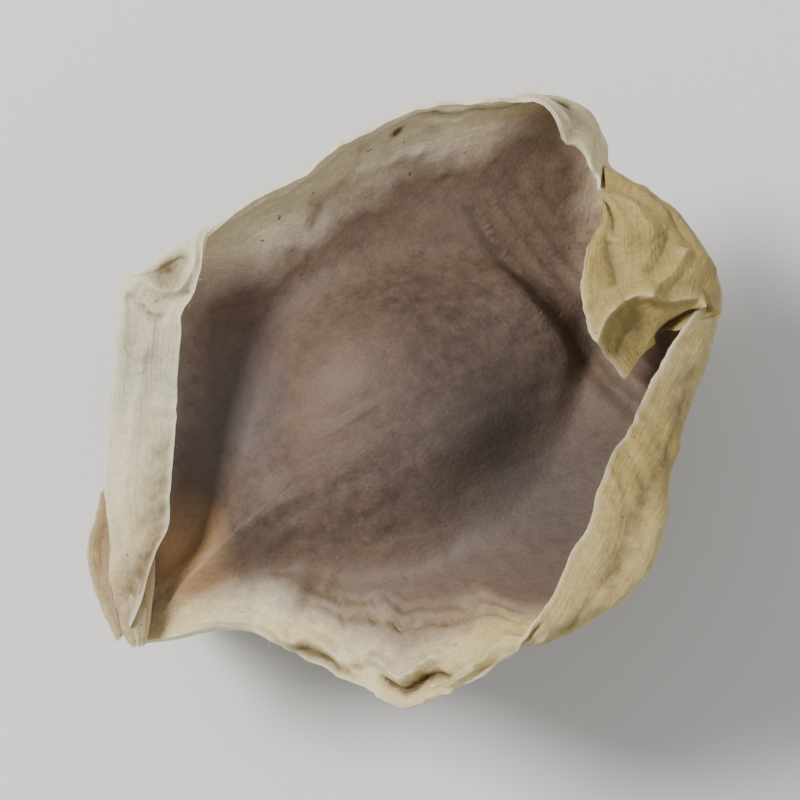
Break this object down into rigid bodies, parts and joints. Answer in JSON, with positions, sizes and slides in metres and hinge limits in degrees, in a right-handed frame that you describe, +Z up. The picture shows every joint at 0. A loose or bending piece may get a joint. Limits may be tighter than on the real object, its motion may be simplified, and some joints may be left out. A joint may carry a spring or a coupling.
{
  "type": "moringa seed",
  "caption": "Dried winged seed: a rounded three-sided brown hull between papery cream wings with torn, folded margins.",
  "frame": {"origin": "on the surface that the seed rests on, below the middle of its box", "axes": "+X along the seed from its sharp pole to its ragged pole, +Z up out of the hull face that shows, +Y towards the wing whose margin is folded flat"},
  "size_m": [0.029, 0.0224, 0.0189],
  "materials": {
    "hull": "matte",
    "wing": "matte"
  },
  "bodies": {
    "root": {"moringa_seed": "hull"}
  },
  "joints": []
}
